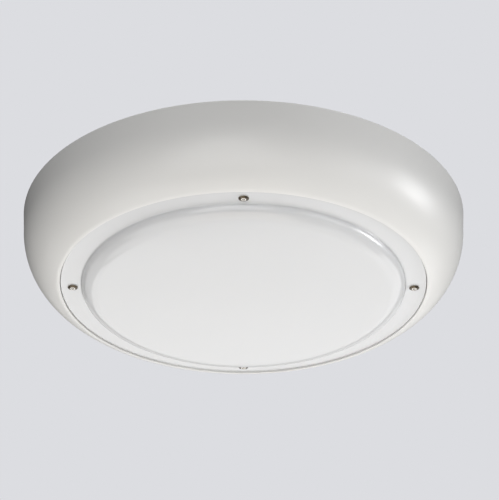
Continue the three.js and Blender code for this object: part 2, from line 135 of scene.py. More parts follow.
# %% A material and the one method that adds its nodes
class Finish:
    """A material being made. Its nodes all come from node()."""

    def __init__(self, name):
        self.material = bpy.data.materials.new(name)
        self.material.use_nodes = True
        self.tree = self.material.node_tree
        self.tree.nodes.clear()

    def node(self, kind, settings=None, inputs=None, output=0):
        made = self.tree.nodes.new(kind)
        for name, value in (settings or {}).items():
            setattr(made, name, value)
        for name, value in (inputs or {}).items():
            feed(made.inputs[name], value)
        return Wire(made.outputs[output])

    def place(self):
        """Where a point is on its own piece, in metres."""
        return self.node("ShaderNodeTexCoord", output="Object")

    def scaled(self, place, factors):
        settings = {"operation": "MULTIPLY"}
        return self.node("ShaderNodeVectorMath", settings, {0: place, 1: factors})

    def noise(self, size, place=None, detail=2.0, roughness=0.5):
        """Smooth random grey, 0 to 1, whose blots are about size metres across."""
        inputs = {
            "Vector": place or self.place(),
            "Scale": 1 / size,
            "Detail": detail,
            "Roughness": roughness,
        }
        return self.node("ShaderNodeTexNoise", None, inputs)

    def mix(self, factor, first, second):
        settings = {"data_type": "RGBA"}
        inputs = {0: factor, 6: first, 7: second}
        return self.node("ShaderNodeMix", settings, inputs, output=2)

    def bump(self, height, depth, strength=1.0):
        """Turns a height from 0 to 1 into tilted normals. depth is the relief in metres."""
        inputs = {"Height": height, "Distance": depth, "Strength": strength}
        return self.node("ShaderNodeBump", None, inputs)

    def surface(self, **sockets):
        """The Principled shader, with its sockets named in lower case, and the output."""
        inputs = {name.replace("_", " ").title(): value for name, value in sockets.items()}
        if "Ior" in inputs:
            inputs["IOR"] = inputs.pop("Ior")
        shader = self.node("ShaderNodeBsdfPrincipled", None, inputs)
        output = self.tree.nodes.new("ShaderNodeOutputMaterial")
        feed(output.inputs["Surface"], shader)
        return self


def rgb(red, green, blue):
    return (red, green, blue, 1)


print("shader helpers ready")

# %% [markdown]
# ## Powder coat
#
# The shell is painted steel. Powder coat is sprayed on dry and baked, so it flows into a skin that is
# smooth but not flat: it has a fine orange peel, with hills a couple of millimetres apart, and a much
# finer grain. It is a warm white with a satin sheen. We keep the relief tiny, because at arm's length
# orange peel is only seen in the edge of a highlight.

# %% Satin white powder coat
def powder_coat():
    coat = Finish("powder_coat")
    cloud = coat.noise(0.06, detail=3)
    peel = coat.noise(0.0022, detail=2)
    grain = coat.noise(0.0004, detail=1)
    colour = coat.mix(cloud, rgb(0.888, 0.883, 0.863), rgb(0.908, 0.903, 0.883))
    return coat.surface(
        base_color=colour,
        roughness=0.33 + 0.05 * cloud + 0.04 * grain,
        coat_weight=0.12,
        coat_roughness=0.2,
        normal=coat.bump(0.75 * peel + 0.25 * grain, 0.00002),
    )


POWDER_COAT = powder_coat()
print("made", POWDER_COAT.material.name)

# %% [markdown]
# ## Opal plastic
#
# The diffuser is moulded in opal polycarbonate: clear plastic with white pigment, so light goes a few
# millimetres in and comes out softened. Its skin copies a polished mould and is glossy, with the
# faintest flow marks. Subsurface scattering gives the soft body, and a low roughness gives the thin
# bright line that a lamp draws along the shoulder.

# %% Gloss opal diffuser
def opal_plastic():
    opal = Finish("opal_plastic")
    cloud = opal.noise(0.09, detail=2)
    flow = opal.noise(0.035, place=opal.scaled(opal.place(), (1, 1, 6)), detail=1)
    haze = opal.noise(0.012, detail=4)
    colour = opal.mix(cloud, rgb(0.775, 0.782, 0.79), rgb(0.795, 0.80, 0.808))
    return opal.surface(
        base_color=colour,
        roughness=0.13 + 0.05 * haze,
        subsurface_weight=0.25,
        subsurface_radius=(1, 0.95, 0.9),
        subsurface_scale=0.004,
        ior=1.58,
        normal=opal.bump(0.8 * flow + 0.2 * haze, 0.00003),
    )


OPAL = opal_plastic()
print("made", OPAL.material.name)

# %% [markdown]
# ## Metals
#
# The cover screws are stainless steel turned on a lathe, so their heads carry rings of fine cuts round
# their own axis. One function makes two copies of that steel from two colours: a plain one for the
# middle of the face, and a very dark one that is painted shade, standing in for the dark surroundings
# that the head's flank and rim reflect. The back plate, rivets and inside hardware are steel with
# bright zinc on it, a bluish skin that dries in patches called spangle. Voronoi cells make the
# patches, and each cell gets its own brightness and roughness.

# %% Turned stainless and zinc plate
CUT_WAVES = 26000  # how fast the lathe's cuts repeat, in radians for each metre of radius
SPANGLE = 0.007


def turned_steel(name, dark, pale):
    steel = Finish(name)
    place = steel.scaled(steel.place(), (1, 1, 0))
    radius = steel.node("ShaderNodeVectorMath", {"operation": "LENGTH"}, {0: place}, output=1)
    cuts = steel.node("ShaderNodeMath", {"operation": "SINE"}, {0: radius * CUT_WAVES})
    smear = steel.noise(0.0012, detail=3)
    return steel.surface(
        base_color=steel.mix(smear, rgb(*dark), rgb(*pale)),
        metallic=1.0,
        roughness=0.2 + 0.12 * smear,
        normal=steel.bump(0.5 + 0.35 * cuts + 0.15 * smear, 0.000008),
    )


def zinc_plate():
    zinc = Finish("zinc_plate")
    cells = {"Vector": zinc.place(), "Scale": 1 / SPANGLE}
    patch = zinc.node("ShaderNodeTexVoronoi", None, cells, output="Color")
    shade = zinc.node("ShaderNodeSeparateColor", None, {0: patch}, output=0)
    mist = zinc.noise(0.02, detail=4)
    colour = zinc.mix(0.6 * shade + 0.4 * mist, rgb(0.56, 0.58, 0.60), rgb(0.68, 0.70, 0.71))
    return zinc.surface(
        base_color=colour,
        metallic=0.95,
        roughness=0.30 + 0.12 * shade + 0.10 * mist,
        normal=zinc.bump(zinc.noise(0.0015, detail=3), 0.00001),
    )


STAINLESS = turned_steel("turned_stainless", (0.60, 0.575, 0.53), (0.68, 0.66, 0.62))
# The dark copy is painted shade: it stands in for the dark reflections on the screw heads' flanks and
# rims.
SHADED_STAINLESS = turned_steel("stainless_painted_shade", (0.085, 0.07, 0.052), (0.135, 0.112, 0.085))
ZINC = zinc_plate()
print("made", [metal.material.name for metal in (STAINLESS, SHADED_STAINLESS, ZINC)])

# %% [markdown]
# ## Rubber, nylon and the plain paints
#
# The inside is made of quiet materials that differ mostly in colour, sheen and grain. One function
# makes them all from those facts: a base colour, a darker or paler partner that it drifts towards,
# how wide the drift is, how rough the surface is, and how big and how deep its grain is.

# %% A function for the quiet materials
def grained(name, colour, partner, roughness, grain, depth, **more):
    finish = Finish(name)
    drift = finish.noise(30 * grain, detail=3)
    fine = finish.noise(grain, detail=3, roughness=0.6)
    return finish.surface(
        base_color=finish.mix(0.7 * drift + 0.3 * fine, rgb(*colour), rgb(*partner)),
        roughness=roughness + 0.08 * fine,
        normal=finish.bump(fine, depth),
        **more,
    )


FINE = 0.00001  # the relief of a smooth moulding, in metres
RUBBER = grained("moulded_rubber", (0.018, 0.018, 0.02), (0.035, 0.035, 0.037), 0.7, 0.0009, 3 * FINE)
NYLON = grained("natural_nylon", (0.74, 0.72, 0.66), (0.80, 0.78, 0.73), 0.42, 0.0012, FINE)
TRAY_PAINT = grained("tray_paint", (0.86, 0.86, 0.85), (0.90, 0.90, 0.89), 0.5, 0.0015, 2 * FINE)
MASK = grained("white_solder_mask", (0.82, 0.83, 0.82), (0.87, 0.88, 0.87), 0.3, 0.0020, FINE)
CASE = grained("spark_texture_case", (0.66, 0.67, 0.665), (0.72, 0.725, 0.72), 0.5, 0.0006, 3 * FINE)
LED_BODY = grained("led_housing", (0.88, 0.88, 0.87), (0.92, 0.92, 0.91), 0.35, 0.0003, FINE)
PHOSPHOR = grained("led_phosphor", (0.85, 0.60, 0.10), (0.92, 0.70, 0.16), 0.35, 0.0002, FINE)
TIN = ((0.70, 0.62, 0.50), (0.80, 0.72, 0.58))
COPPER = grained("tinned_copper", *TIN, 0.3, 0.0004, FINE, metallic=1.0)
print("made", len(bpy.data.materials), "materials so far")

# %% Wire insulation in five colours
def insulation(name, colour):
    """Extruded PVC: drawn lengthways, so it is smooth and slightly uneven in shade."""
    partner = [0.8 * part + 0.03 for part in colour]
    return grained(f"{name}_insulation", colour, partner, 0.38, 0.0008, FINE)


INSULATION = {
    "live_wire": ("wire_brown", insulation("brown", (0.18, 0.075, 0.03))),
    "neutral_wire": ("wire_blue", insulation("blue", (0.035, 0.15, 0.42))),
    "led_plus_wire": ("wire_red", insulation("red", (0.42, 0.035, 0.025))),
    "led_minus_wire": ("wire_black", insulation("black", (0.02, 0.02, 0.022))),
    "earth_wire": ("wire_green", insulation("green", (0.12, 0.30, 0.05))),
}
print("insulation colours:", sorted(slot for slot, finish in INSULATION.values()))

# %% [markdown]
# ## Outlines with rounded corners
#
# Nearly every piece here is either turned or cut from sheet, so each starts as a flat outline. Real
# edges are never sharp: they catch a line of light. Instead of bevelling a finished mesh we round the
# outline's corners first. A corner is written as (x, y) or (x, y, radius), and the arc that touches
# both of its sides takes its place.

# %% Arcs and rounded corners
def arc(centre, radius, first, last, steps):
    """Points on an arc in the (r, z) plane, from one angle to another, in degrees."""
    points = []
    for step in range(steps + 1):
        angle = math.radians(first + (last - first) * step / steps)
        points.append((centre[0] + radius * math.cos(angle), centre[1] + radius * math.sin(angle)))
    return points


def rounded(corners, steps=4):
    """An outline with an arc in place of each corner that states a radius."""
    points = []
    for index, corner in enumerate(corners):
        here = Vector(corner[:2])
        if len(corner) == 2:
            points.append(tuple(here))
            continue
        back = (Vector(corners[index - 1][:2]) - here).normalized()
        ahead = (Vector(corners[(index + 1) % len(corners)][:2]) - here).normalized()
        half = back.angle(ahead) / 2
        middle = here + (back + ahead).normalized() * (corner[2] / math.sin(half))
        start = here + back * (corner[2] / math.tan(half)) - middle
        finish = here + ahead * (corner[2] / math.tan(half)) - middle
        turn = start.angle_signed(finish)
        for step in range(steps + 1):
            spoke = Matrix.Rotation(-turn * step / steps, 2) @ start
            points.append(tuple(middle + spoke))
    return points


square = rounded([(0, 0, 1), (4, 0, 1), (4, 4, 1), (0, 4, 1)])
print("a square with round corners has", len(square), "points")

# %% [markdown]
# ## Turning and cutting sheet
#
# Two makers cover almost everything. One spins an outline of (radius, z) about Z, as a lathe or a
# spinning chuck does. The other fills an outline that may have holes and gives it a thickness with a
# small rounded edge, as a punch does. Blender's own 2D curves fill holes and bevel edges well, so the
# second maker draws a curve and keeps its mesh.

# %% Spin an outline about Z
def tidy(mesh, angle=35):
    """Turns all faces outwards and smooths the shading, except across real edges."""
    work = bmesh.new()
    work.from_mesh(mesh)
    bmesh.ops.remove_doubles(work, verts=work.verts, dist=1e-7)
    bmesh.ops.recalc_face_normals(work, faces=work.faces)
    work.to_mesh(mesh)
    work.free()
    mesh.shade_smooth()
    mesh.set_sharp_from_angle(angle=math.radians(angle))
    return mesh


def turned(name, outline, segments=96):
    """A closed outline of (radius, z) in millimetres, or one that starts and ends on the axis."""
    corners, rings = [], []
    for radius, z in outline:
        count = 1 if radius < 1e-6 else segments
        rings.append([len(corners) + step for step in range(count)])
        for step in range(count):
            angle = 2 * math.pi * step / segments
            corner = (radius * math.cos(angle), radius * math.sin(angle), z)
            corners.append([part * MM for part in corner])
    neighbours = list(zip(rings, rings[1:]))
    if len(rings[0]) > 1:
        neighbours.append((rings[-1], rings[0]))
    faces = []
    for one, other in neighbours:
        for step in range(segments):
            after = (step + 1) % segments
            face = [one[step % len(one)], one[after % len(one)]]
            face += [other[after % len(other)], other[step % len(other)]]
            face = list(dict.fromkeys(face))
            if len(face) > 2:
                faces.append(face)
    mesh = bpy.data.meshes.new(name)
    mesh.from_pydata(corners, [], faces)
    return tidy(mesh)


# %% Punch an outline from sheet
def drawn_on(curve, outline):
    spline = curve.splines.new("POLY")
    spline.points.add(len(outline) - 1)
    for point, (x, y) in zip(spline.points, outline):
        point.co = (x * MM, y * MM, 0, 1)
    spline.use_cyclic_u = True


def punched(name, outline, low, high, holes=(), edge=0.0):
    """An outline of (x, y) in millimetres, solid from z = low to z = high, with rounded edges."""
    curve = bpy.data.curves.new(name, "CURVE")
    curve.dimensions = "2D"
    curve.fill_mode = "BOTH"
    curve.extrude = ((high - low) / 2 - edge) * MM
    curve.bevel_depth = edge * MM
    curve.bevel_resolution = 2
    curve.offset = -edge * MM
    for shape in (outline, *holes):
        drawn_on(curve, shape)
    holder = bpy.data.objects.new(name, curve)
    mesh = bpy.data.meshes.new_from_object(holder)
    bpy.data.objects.remove(holder)
    bpy.data.curves.remove(curve)
    mesh.transform(Matrix.Translation((0, 0, (low + high) / 2 * MM)))
    return tidy(mesh)


def circle(radius, centre=(0, 0), count=32):
    return arc(centre, radius, 0, 360 * (count - 1) / count, count - 1)


def rectangle(length, width, corner, centre=(0, 0)):
    x, y = length / 2, width / 2
    corners = [(-x, -y, corner), (x, -y, corner), (x, y, corner), (-x, y, corner)]
    return [(px + centre[0], py + centre[1]) for px, py in rounded(corners)]


print("makers ready:", turned.__name__, "and", punched.__name__)

# %% [markdown]
# ## Joining, copying and cutting
#
# A finished piece is often several simple shapes in one mesh, or one shape repeated. Some need a hole
# that neither maker can give, such as a screw hole through the flange of a turned dome, and a Boolean
# modifier cuts those. Last comes the function that puts a finished mesh in its place, on the CAD body
# that carries it.

# %% Join, repeat and cut meshes
def joined(name, meshes, places=(Matrix.Identity(4),)):
    """One mesh of all these meshes, repeated at each place."""
    work = bmesh.new()
    for place in places:
        for mesh in meshes:
            known = len(work.verts)
            work.from_mesh(mesh)
            work.verts.ensure_lookup_table()
            bmesh.ops.transform(work, matrix=place, verts=work.verts[known:])
    whole = bpy.data.meshes.new(name)
    work.to_mesh(whole)
    work.free()
    whole.shade_smooth()
    whole.set_sharp_from_angle(angle=math.radians(35))
    return whole


def drilled(mesh, tools):
    """The mesh with these tool meshes cut away."""
    target = bpy.data.objects.new("target", mesh)
    scene.collection.objects.link(target)
    helpers = [target]
    for tool in tools:
        helper = bpy.data.objects.new("tool", tool)
        scene.collection.objects.link(helper)
        helpers.append(helper)
        modifier = target.modifiers.new("cut", "BOOLEAN")
        modifier.operation = "DIFFERENCE"
        modifier.solver = "EXACT"
        modifier.object = helper
    bpy.context.view_layer.update()
    evaluated = target.evaluated_get(bpy.context.evaluated_depsgraph_get())
    result = bpy.data.meshes.new_from_object(evaluated)
    result.name = mesh.name
    for helper in helpers:
        bpy.data.objects.remove(helper)
    result.set_sharp_from_angle(angle=math.radians(35))
    return result


def moved(mesh, place):
    """A copy of a mesh at another place."""
    return joined(mesh.name, [mesh], [place])


def spot(x, y, turn=0.0):
    """A place on the plan, in millimetres, turned by so many degrees."""
    return Matrix.Translation((x * MM, y * MM, 0)) @ Matrix.Rotation(math.radians(turn), 4, "Z")


def round_spots(count, radius, first=0.0):
    """Even places round a circle, each turned to face outwards."""
    angles = [first + 360 * index / count for index in range(count)]
    return [Matrix.Rotation(math.radians(angle), 4, "Z") @ spot(radius, 0) for angle in angles]


# %% Put a piece in the luminaire
def piece(name, mesh, finishes, stands_for, at=(0, 0), body="base"):
    """Makes the object that stands for a CAD node, whose own mesh it hides, and rides on a CAD body."""
    made = bpy.data.objects.new(name, mesh)
    scene.collection.objects.link(made)
    for finish in finishes:
        mesh.materials.append(finish.material)
    made.location = (at[0] * MM, at[1] * MM, 0)
    bpy.context.view_layer.update()
    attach(made, body)
    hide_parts(stands_for)


def centre_of(node):
    """The middle of a CAD node on the plan, in millimetres."""
    low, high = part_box(node)
    return ((low.x + high.x) / 2 / MM, (low.y + high.y) / 2 / MM)


def top_and_bottom(node):
    low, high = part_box(node)
    return high.z / MM, low.z / MM


def holes(nodes, radius, low, high, count=32):
    """Round cutters at these CAD nodes, a little longer than the sheet from low to high."""
    outlines = [circle(radius, centre_of(node), count) for node in nodes]
    return [punched("hole", outline, low - 1, high + 1) for outline in outlines]


print("the first cover screw is at", [round(part, 1) for part in centre_of("cover_screw_1")])

# %% [markdown]
# ## The shell
#
# The shell was spun from a steel disc. From the ceiling down it has a nearly straight wall, one
# generous curve, and a small rolled lip that guards the edge of the diffuser. Inside the lip a wall
# drops to a flat seat for the gasket, and at the back a hem is turned in for the rivets. We draw the
# whole section as one closed outline, because a thin rolled sheet reads as real only when both of its
# faces are there.

# %% Draw the shell's section
body_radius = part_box("outer_shell")[1].x / MM
lip_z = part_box("outer_shell")[0].z / MM
flange_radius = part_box("diffuser")[1].x / MM
SHEET = 2.5
BEND_Z, BEND_RADIUS = -18.8, 60
LIP_RADIUS = 9
LIP_INNER = flange_radius + 0.9
SEAT_Z = -66
SEAT_INNER, SEAT_FOLD = 151, 7
HEM_Z, HEM_INNER = -2.3, 192

# The big bend's centre, and how far round it runs before the lip's own rounding takes over.
bend = (body_radius - 1 - BEND_RADIUS, BEND_Z)
lip_drop = (BEND_Z - lip_z - LIP_RADIUS) / (BEND_RADIUS - LIP_RADIUS)
hand_over = -math.degrees(math.asin(lip_drop))
lip = (
    bend[0] + (BEND_RADIUS - LIP_RADIUS) * math.cos(math.radians(hand_over)),
    lip_z + LIP_RADIUS,
)
groove = LIP_INNER + SHEET
groove_angle = -math.degrees(math.acos((groove - bend[0]) / (BEND_RADIUS - SHEET)))
fold_top = SEAT_Z + SEAT_FOLD
inner_wall = body_radius - SHEET
shell_section = rounded(
    [
        (inner_wall, 0),
        (body_radius, 0, 0.8),
        *arc(bend, BEND_RADIUS, 0, hand_over, 26),
        *arc(lip, LIP_RADIUS, hand_over, -90, 8)[1:],
        (LIP_INNER, lip_z, 0.5),
        (LIP_INNER, SEAT_Z, 0.6),
        (SEAT_INNER, SEAT_Z, 2.2),
        (SEAT_INNER, fold_top, 0.8),
        (SEAT_INNER + SHEET, fold_top, 0.8),
        (SEAT_INNER + SHEET, SEAT_Z + SHEET, 0.6),
        (groove, SEAT_Z + SHEET, 0.6),
        *arc(bend, BEND_RADIUS - SHEET, groove_angle, 0, 18),
        (inner_wall, HEM_Z - SHEET, 0.8),
        (HEM_INNER, HEM_Z - SHEET, 0.8),
        (HEM_INNER, HEM_Z, 0.8),
        (inner_wall, HEM_Z, 0.8),
    ]
)
print("the shell's section has", len(shell_section), "points; its lip is at z", round(lip_z, 1))

# %% Spin the shell and drill it
COVER_SCREWS = [f"cover_screw_{number}" for number in range(1, 5)]
RIVETS = [f"shell_rivet_{number}" for number in range(1, 7)]

shell_mesh = turned("shell", shell_section, segments=256)
INSERT_HOLE, RIVET_HOLE = 3.9, 2
insert_holes = holes(COVER_SCREWS, INSERT_HOLE, SEAT_Z, SEAT_Z + SHEET)
rivet_holes = holes(RIVETS, RIVET_HOLE, HEM_Z - SHEET, HEM_Z, 20)
shell_mesh = drilled(shell_mesh, insert_holes + rivet_holes)
piece("shell", shell_mesh, [POWDER_COAT], "outer_shell")
print("shell faces:", len(shell_mesh.polygons))

# %% [markdown]
# ## The diffuser
#
# The diffuser is one moulding: a flat flange that lies inside the shell's lip, and a raised pan with a
# very shallow crown. The shoulder between them turns in two bends, a tight one and then a wide one. It
# is what gives the diffuser away as a moulding, because it holds a thin bright line of light. A small
# fillet joins the pan to the flange, as any mould needs.

# %% Draw and mould the diffuser
flange_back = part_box("diffuser")[1].z / MM
crown_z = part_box("diffuser")[0].z / MM
FLANGE_Z = -71.5
FLANGE_EDGE = flange_radius + 0.3
DOME_FOOT = 152.6
DOME_WALL = 3
FOOT_FILLET = 1.6
CLEARANCE = 3
SHOULDER_BENDS = [(9, 33), (26, 4.5)]  # radius, and the slope in degrees that it bends down to


def dome_side(inwards):
    """One skin of the dome, from its foot to the middle of the crown."""
    centre, start, side = (DOME_FOOT - SHOULDER_BENDS[0][0], FLANGE_Z), 360, []
    for index, (radius, slope) in enumerate(SHOULDER_BENDS):
        side += arc(centre, radius - inwards, start, 270 + slope, 12)[min(index, 1):]
        tilt = math.radians(slope)
        crown = centre[0] / math.sin(tilt) + radius
        grow = [bend[0] for bend in SHOULDER_BENDS[index + 1 :]] + [crown]
        centre = (
            centre[0] - (grow[0] - radius) * math.sin(tilt),
            centre[1] + (grow[0] - radius) * math.cos(tilt),
        )
        start = 270 + slope
    return side + arc((0, centre[1]), crown - inwards, start, 270, 16)[1:-1]


outer_side, inner_side = dome_side(0), dome_side(DOME_WALL)
outer_side[0] = (DOME_FOOT, FLANGE_Z - FOOT_FILLET)
diffuser_section = [
    (0, inner_side[-1][1] - 0.02),
    *reversed(inner_side),
    (150.4, flange_back),
    (FLANGE_EDGE - 0.5, flange_back),
    (FLANGE_EDGE, flange_back - 0.5),
    *arc((FLANGE_EDGE - 0.6, FLANGE_Z + 0.6), 0.6, 360, 270, 5),
    *arc((DOME_FOOT + FOOT_FILLET, FLANGE_Z - FOOT_FILLET), FOOT_FILLET, 90, 180, 4),
    *outer_side[1:],
    (0, outer_side[-1][1] - 0.02),
]
clearance_holes = holes(COVER_SCREWS, CLEARANCE, FLANGE_Z, flange_back)
diffuser_mesh = drilled(turned("diffuser", diffuser_section, segments=256), clearance_holes)
piece("opal_cover", diffuser_mesh, [OPAL], "diffuser", body="cover")
print("crown at", round(diffuser_section[-1][1], 2), "mm, and the CAD crown at", round(crown_z, 2))

# %% [markdown]
# ## The gasket
#
# A strip of rubber seals the flange against the seat. Only its outer edge can be seen, as the dark
# line in the gap round the flange. A real gasket is squeezed, so its edge bulges a little.

# %% Press the gasket
gasket_top, gasket_bottom = top_and_bottom("cover_gasket")
gasket_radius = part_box("cover_gasket")[1].x / MM
gasket_section = [
    (SEAT_INNER + 1.5, gasket_bottom),
    *arc((gasket_radius - 0.5, (gasket_top + gasket_bottom) / 2), 0.78, -80, 80, 8),
    (SEAT_INNER + 1.5, gasket_top),
]
ROOM_FOR_INSERT = 5.3
gasket_holes = holes(COVER_SCREWS, ROOM_FOR_INSERT, gasket_bottom, gasket_top)
gasket_mesh = drilled(turned("gasket", gasket_section, segments=192), gasket_holes)
piece("gasket", gasket_mesh, [RUBBER], "cover_gasket")
print("gasket faces:", len(gasket_mesh.polygons))

# %% [markdown]
# ## Threads
#
# A screw thread is a ridge that climbs round a rod. We make a grid of rings and push each point out by
# how far it is, up the thread, from the nearest ridge: that distance depends on the height and on the
# angle, so the rings turn into one long helix with no joins.

# %% Roll a thread
def threaded(name, outer, depth, pitch, low, high, segments=24, per_turn=6):
    """A rod with a V thread, closed at both ends."""
    rings = max(4, round((high - low) / pitch * per_turn))
    corners, faces = [], []
    for ring in range(rings + 1):
        z = low + (high - low) * ring / rings
        run_out = min(1, (rings - ring) / per_turn)  # the last turn fades into a point
        for step in range(segments):
            climb = (z / pitch - step / segments) % 1
            ridge = 1 - abs(2 * climb - 1)
            radius = outer - depth + depth * ridge * run_out
            angle = 2 * math.pi * step / segments
            corners.append((radius * math.cos(angle) * MM, radius * math.sin(angle) * MM, z * MM))
    for ring in range(rings):
        for step in range(segments):
            after = (step + 1) % segments
            row, following = ring * segments, (ring + 1) * segments
            faces.append((row + step, row + after, following + after, following + step))
    faces.append(tuple(range(segments)))
    faces.append(tuple(rings * segments + step for step in range(segments)))
    mesh = bpy.data.meshes.new(name)
    mesh.from_pydata(corners, [], faces)
    return tidy(mesh)


M5_PITCH = 0.8
print("an M5 thread climbs", M5_PITCH, "mm in each turn")

# %% [markdown]
# ## The cover screws
#
# The four screws are M5 security screws: a low cone with a small flat face, and in it a six-lobed
# socket that has a pin standing in it, so that a common driver won't fit. The cone's flank gives
# pliers nothing to hold. Only the middle of the face keeps the plain steel colour; the rest of the
# head is painted shade, a very dark copy of the steel, so from below each screw is a dark ring with a
# light middle. The socket is a cutter with a hole in it, and the hole leaves the pin. A nylon washer
# under each head keeps steel off the plastic flange.

# %% Shape a conical head with a pinned socket
def lobed(radius, wave, lobes, count=72):
    """A round outline with so many lobes."""
    points = []
    for step in range(count):
        angle = 2 * math.pi * step / count
        reach = radius + wave * math.cos(lobes * angle)
        points.append((reach * math.cos(angle), reach * math.sin(angle)))
    return points


HEAD_RADIUS = 4.75
FACE_RADIUS = 2.8
# The face keeps the plain steel inside this radius; the rest of the head is painted shade.
PAINTED_SHADE_RADIUS = 2.3
SOCKET = {"radius": 1.4, "wave": 0.18, "depth": 1.2, "pin": 0.5}


def shade_painted_round_middle(screw, depth):
    """Gives the face's middle and socket, as far in as depth, the first finish. The rest of the head
    gets the second finish, painted shade.
    """
    for polygon in screw.polygons:
        reach = math.hypot(polygon.center.x, polygon.center.y)
        bright = reach < PAINTED_SHADE_RADIUS * MM and polygon.center.z < depth * MM
        polygon.material_index = 0 if bright else 1
    return screw


def cone_head(head_z, head_height):
    """A low cone with a flat face, and a socket with a pin standing in it."""
    base = head_z + head_height
    section = rounded(
        [
            (0, head_z),
            (PAINTED_SHADE_RADIUS, head_z),
            (FACE_RADIUS, head_z, 0.4),
            (HEAD_RADIUS, base - 0.35, 0.2),
            (HEAD_RADIUS, base, 0.1),
            (0, base),
        ],
        steps=5,
    )
    head = turned("head", section, segments=64)
    outline = lobed(SOCKET["radius"], SOCKET["wave"], 6)
    pin = circle(SOCKET["pin"], count=20)
    tool = punched("socket", outline, head_z - 1, head_z + SOCKET["depth"], holes=[pin])
    return drilled(head, [tool])


# %% Make the screws, washers and inserts
washer_top, washer_bottom = top_and_bottom("cover_washer_1")
insert_top, insert_bottom = top_and_bottom("cover_insert_1")
tip_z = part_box(COVER_SCREWS[0])[1].z / MM
head_z = screw_face / MM
head_height = washer_bottom - 0.05 - head_z
SHANK, THREAD_DEPTH = 2.42, 0.35
BORE, WASHER_RADIUS = 2.6, 4.6
INSERT_BODY, INSERT_FLANGE, INSERT_BULGE = 3.6, 4.8, 5  # the bulge is what grips the sheet
sheet_back = SEAT_Z + SHEET

washer_section = rounded(
    [
        (BORE, washer_top),
        (WASHER_RADIUS, washer_top, 0.15),
        (WASHER_RADIUS, washer_bottom, 0.15),
        (BORE, washer_bottom),
    ]
)
insert_section = rounded(
    [
        (BORE + 0.15, insert_bottom, 0.3),
        (INSERT_FLANGE, insert_bottom, 0.25),
        (INSERT_FLANGE, SEAT_Z - 0.2),
        (INSERT_BODY, SEAT_Z - 0.2),
        (INSERT_BODY, sheet_back + 0.2),
        (INSERT_BULGE, sheet_back + 0.9, 0.4),
        (INSERT_BULGE - 0.2, sheet_back + 3.1, 0.6),
        (INSERT_BODY, sheet_back + 3.9, 0.3),
        (INSERT_BODY, insert_top, 0.2),
        (BORE, insert_top),
    ]
)
screw_head = cone_head(head_z, head_height)
shank_top = head_z + head_height - 0.1
shank = threaded("shank", SHANK, THREAD_DEPTH, M5_PITCH, shank_top, tip_z - 0.05)
socket_floor = head_z + SOCKET["depth"] + 0.1
for number, node in enumerate(COVER_SCREWS, 1):
    at = centre_of(node)
    # The middle of each head keeps the plain steel; the rest of the head gets the painted shade.
    screw = shade_painted_round_middle(joined("cover_screw", [screw_head, shank]), socket_floor)
    finishes, name = [STAINLESS, SHADED_STAINLESS], f"security_screw_{number}"
    piece(name, screw, finishes, node, at, body=f"screw_{number}")
    washer, name = turned("washer", washer_section, segments=48), f"screw_washer_{number}"
    piece(name, washer, [NYLON], f"cover_washer_{number}", at, body=name)
    insert, name = turned("insert", insert_section, segments=48), f"threaded_insert_{number}"
    piece(name, insert, [ZINC], f"cover_insert_{number}", at)
print("head height", round(head_height, 2), "mm on", len(COVER_SCREWS), "screws")

# %% [markdown]
# ## The back plate
#
# The back plate is two millimetre zinc-plated steel, pressed flat against the ceiling. Its middle is
# dished so that the cable's grommet stays clear of the ceiling, four slots take the ceiling screws, and
# six countersunk rivets join it to the shell's hem. It is turned from a rounded section and then cut.

# %% Press and punch the back plate
plate_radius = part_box("back_plate")[1].x / MM
dish_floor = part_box("back_plate")[0].z / MM
PLATE = 2
DISH, ENTRY = 34, 8
SLOT, SLOT_CIRCLE = (7, 14, 3.49), 105
dish_face = dish_floor + PLATE
plate_section = rounded(
    [
        (ENTRY, dish_face),
        (DISH, dish_face, 2.5),
        (DISH - dish_face, 0, 2.5),
        (plate_radius, 0, 0.3),
        (plate_radius, -PLATE, 0.3),
        (DISH - dish_face + 1, -PLATE, 4),
        (DISH + 1, dish_floor, 1.5),
        (ENTRY, dish_floor),
    ],
    steps=6,
)
slot_tool = punched("slot", rectangle(*SLOT), -PLATE - 1, 1)
plate_tools = [moved(slot_tool, place) for place in round_spots(4, SLOT_CIRCLE)]
countersink = [(0, 0.5), (4.1, 0.5), (4, -0.1), (2, -1.9), (2, -PLATE - 0.5), (0, -PLATE - 0.5)]
sink_tool = turned("sink", countersink, 32)
plate_tools += [moved(sink_tool, spot(*centre_of(node))) for node in RIVETS]
plate_mesh = drilled(turned("back_plate", plate_section, segments=192), plate_tools)
piece("mounting_plate", plate_mesh, [ZINC], "back_plate")
print("back plate faces:", len(plate_mesh.polygons))

# %% Set the rivets and the cable grommet
rivet_tail = HEM_Z - SHEET - 0.2
rivet_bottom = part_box("shell_rivet_1")[0].z / MM
RIVET_BODY, RIVET_HEAD, RIVET_SINK = 1.75, 3.4, -0.2
rivet_section = [
    (0, RIVET_SINK),
    (0.8, RIVET_SINK - 0.08),
    (1.0, RIVET_SINK),
    (RIVET_HEAD, RIVET_SINK),
    (RIVET_HEAD + 0.2, RIVET_SINK - 0.1),
    (RIVET_BODY, -1.95),
    (RIVET_BODY, rivet_tail),
    *arc((RIVET_BODY - 0.15, rivet_tail - 0.7), 1.3, 60, -90, 7),
    (0, rivet_bottom),
]
for number, node in enumerate(RIVETS, 1):
    rivet = turned("rivet", rivet_section, segments=32)
    piece(f"countersunk_rivet_{number}", rivet, [ZINC], node, centre_of(node))


